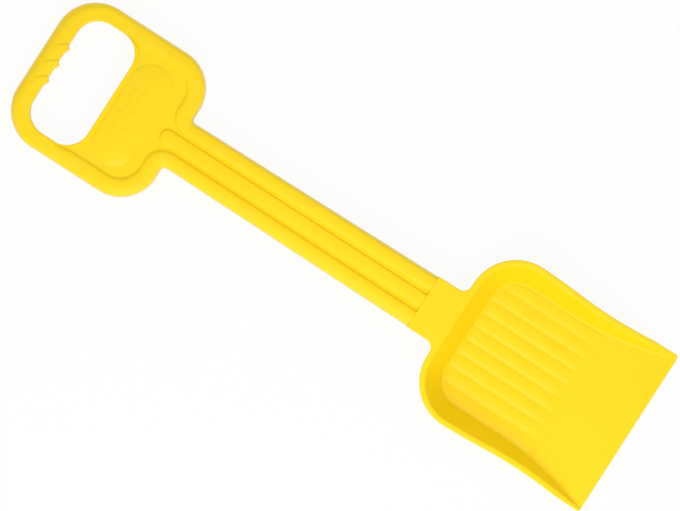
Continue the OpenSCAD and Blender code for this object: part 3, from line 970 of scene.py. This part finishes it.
# Plastic
def plastic(name, colour, deep_colour, painted_edge_shade):
    """Moulded plastic: a mottle of two tones, painted shade where the surface turns away from view, a grain
    and a ripple.
    """
    material = bpy.data.materials.new(name)
    material.use_nodes = True
    nodes = material.node_tree.nodes
    links = material.node_tree.links
    shader = nodes["Principled BSDF"]
    place = nodes.new("ShaderNodeTexCoord")

    def noise(scale, detail):
        made = nodes.new("ShaderNodeTexNoise")
        made.inputs["Scale"].default_value = scale
        made.inputs["Detail"].default_value = detail
        links.new(place.outputs["Object"], made.inputs["Vector"])
        return made.outputs["Fac"]

    def ramp(fac, low, high, fac_low=0, fac_high=1):
        made = nodes.new("ShaderNodeMapRange")
        made.inputs["From Min"].default_value = fac_low
        made.inputs["From Max"].default_value = fac_high
        made.inputs["To Min"].default_value = low
        made.inputs["To Max"].default_value = high
        links.new(fac, made.inputs["Value"])
        return made.outputs["Result"]

    mottle = nodes.new("ShaderNodeMix")
    mottle.data_type = "RGBA"
    mottle.inputs["A"].default_value = (*colour, 1)
    mottle.inputs["B"].default_value = (*deep_colour, 1)
    links.new(ramp(noise(MOTTLE_SCALE, MOTTLE_DETAIL), MOTTLE_LOW, MOTTLE_HIGH), mottle.inputs["Factor"])
    # Painted shade: a facing ramp darkens the colour where the surface turns away from view, standing in for
    # the shade along edges and walls
    weight = nodes.new("ShaderNodeLayerWeight")
    weight.inputs["Blend"].default_value = PAINTED_SHADE_BLEND
    edge = nodes.new("ShaderNodeMix")
    edge.data_type = "RGBA"
    edge.inputs["B"].default_value = (*(painted_edge_shade * c for c in colour), 1)
    painted_shade_share = ramp(weight.outputs["Facing"], 0, 1, PAINTED_SHADE_FACING_LOW, PAINTED_SHADE_FACING_HIGH)
    links.new(painted_shade_share, edge.inputs["Factor"])
    links.new(mottle.outputs["Result"], edge.inputs["A"])
    links.new(edge.outputs["Result"], shader.inputs["Base Color"])
    shader.inputs["Specular IOR Level"].default_value = SPECULAR_LEVEL
    gloss = ramp(noise(GRAIN_SCALE, GRAIN_DETAIL), ROUGHNESS_LOW, ROUGHNESS_HIGH)
    links.new(gloss, shader.inputs["Roughness"])
    bump = nodes.new("ShaderNodeBump")
    bump.inputs["Strength"].default_value = RIPPLE_STRENGTH
    bump.inputs["Distance"].default_value = RIPPLE_HEIGHT_M
    links.new(noise(RIPPLE_SCALE, RIPPLE_DETAIL), bump.inputs["Height"])
    links.new(bump.outputs["Normal"], shader.inputs["Normal"])
    return material


# Light, floor and camera
def seen_directly(nodes, links):
    """A socket that is 1 for rays from the camera, mirrors and glass, and 0 for light on the object."""
    path = nodes.new("ShaderNodeLightPath")
    total = path.outputs["Is Camera Ray"]
    for name in ("Is Glossy Ray", "Is Transmission Ray"):
        add = nodes.new("ShaderNodeMath")
        add.use_clamp = True
        links.new(total, add.inputs[0])
        links.new(path.outputs[name], add.inputs[1])
        total = add.outputs[0]
    return total


def make_world():
    """A white surround that lights the object softly from all sides."""
    world = bpy.data.worlds.new("studio")
    bpy.context.scene.world = world
    world.use_nodes = True
    nodes = world.node_tree.nodes
    links = world.node_tree.links
    level = nodes.new("ShaderNodeMapRange")
    level.inputs["To Min"].default_value = SKY_LEVEL
    level.inputs["To Max"].default_value = 1
    links.new(seen_directly(nodes, links), level.inputs["Value"])
    links.new(level.outputs["Result"], nodes["Background"].inputs["Strength"])
    nodes["Background"].inputs["Color"].default_value = (1, 1, 1, 1)


def make_floor():
    """A plain white floor that keeps a faint shadow of the object."""
    bpy.ops.mesh.primitive_plane_add(size=2 * STAGE_HALF_M, location=(0, 0, -STAGE_DROP_M))
    floor = bpy.context.object
    floor.name = "floor"
    material = bpy.data.materials.new("white_floor")
    material.use_nodes = True
    nodes = material.node_tree.nodes
    links = material.node_tree.links
    shader = nodes["Principled BSDF"]
    shader.inputs["Base Color"].default_value = (STAGE_WHITE, STAGE_WHITE, STAGE_WHITE, 1)
    shader.inputs["Roughness"].default_value = 1
    shader.inputs["Specular IOR Level"].default_value = 0
    glow = nodes.new("ShaderNodeEmission")
    share = nodes.new("ShaderNodeMapRange")
    share.inputs["To Max"].default_value = 1 - SHADOW_SHARE
    links.new(seen_directly(nodes, links), share.inputs["Value"])
    mix = nodes.new("ShaderNodeMixShader")
    links.new(share.outputs["Result"], mix.inputs["Fac"])
    links.new(shader.outputs["BSDF"], mix.inputs[1])
    links.new(glow.outputs["Emission"], mix.inputs[2])
    links.new(mix.outputs["Shader"], nodes["Material Output"].inputs["Surface"])
    floor.data.materials.append(material)


def make_key():
    """A large soft lamp above the shovel, to the side of its lower edge in the picture."""
    lamp = bpy.data.lights.new("key", "AREA")
    lamp.shape = "DISK"
    lamp.size = KEY_SIZE
    lamp.energy = KEY_POWER
    made = bpy.data.objects.new("key", lamp)
    made.location = KEY_PLACE
    made.visible_camera = False
    made.rotation_euler = (-KEY_PLACE).to_track_quat("-Z", "Y").to_euler()
    bpy.context.scene.collection.objects.link(made)


def make_camera():
    """The camera straight above the shovel, rolled so that the shovel lies across the picture."""
    lens = bpy.data.cameras.new("camera")
    lens.lens = CAMERA_LENS
    camera = bpy.data.objects.new("camera", lens)
    camera.location = (CAMERA_X, CAMERA_Y, CAMERA_H)
    camera.rotation_euler = (0, 0, math.radians(CAMERA_ROLL))
    bpy.context.scene.collection.objects.link(camera)
    bpy.context.scene.camera = camera


bpy.context.scene.view_settings.view_transform = "Standard"
make_camera()
make_world()
make_floor()
make_key()
make_handle(plastic("handle_yellow", BODY_COLOUR, BODY_DEEP_COLOUR, HANDLE_PAINTED_EDGE_SHADE))
make_scoop(plastic("scoop_yellow", BODY_COLOUR, BODY_DEEP_COLOUR, SCOOP_PAINTED_EDGE_SHADE))
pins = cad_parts["lock_pins"]
pins.data.materials.clear()
pins.data.materials.append(plastic("pin_yellow", PIN_COLOUR, PIN_DEEP_COLOUR, HANDLE_PAINTED_EDGE_SHADE))
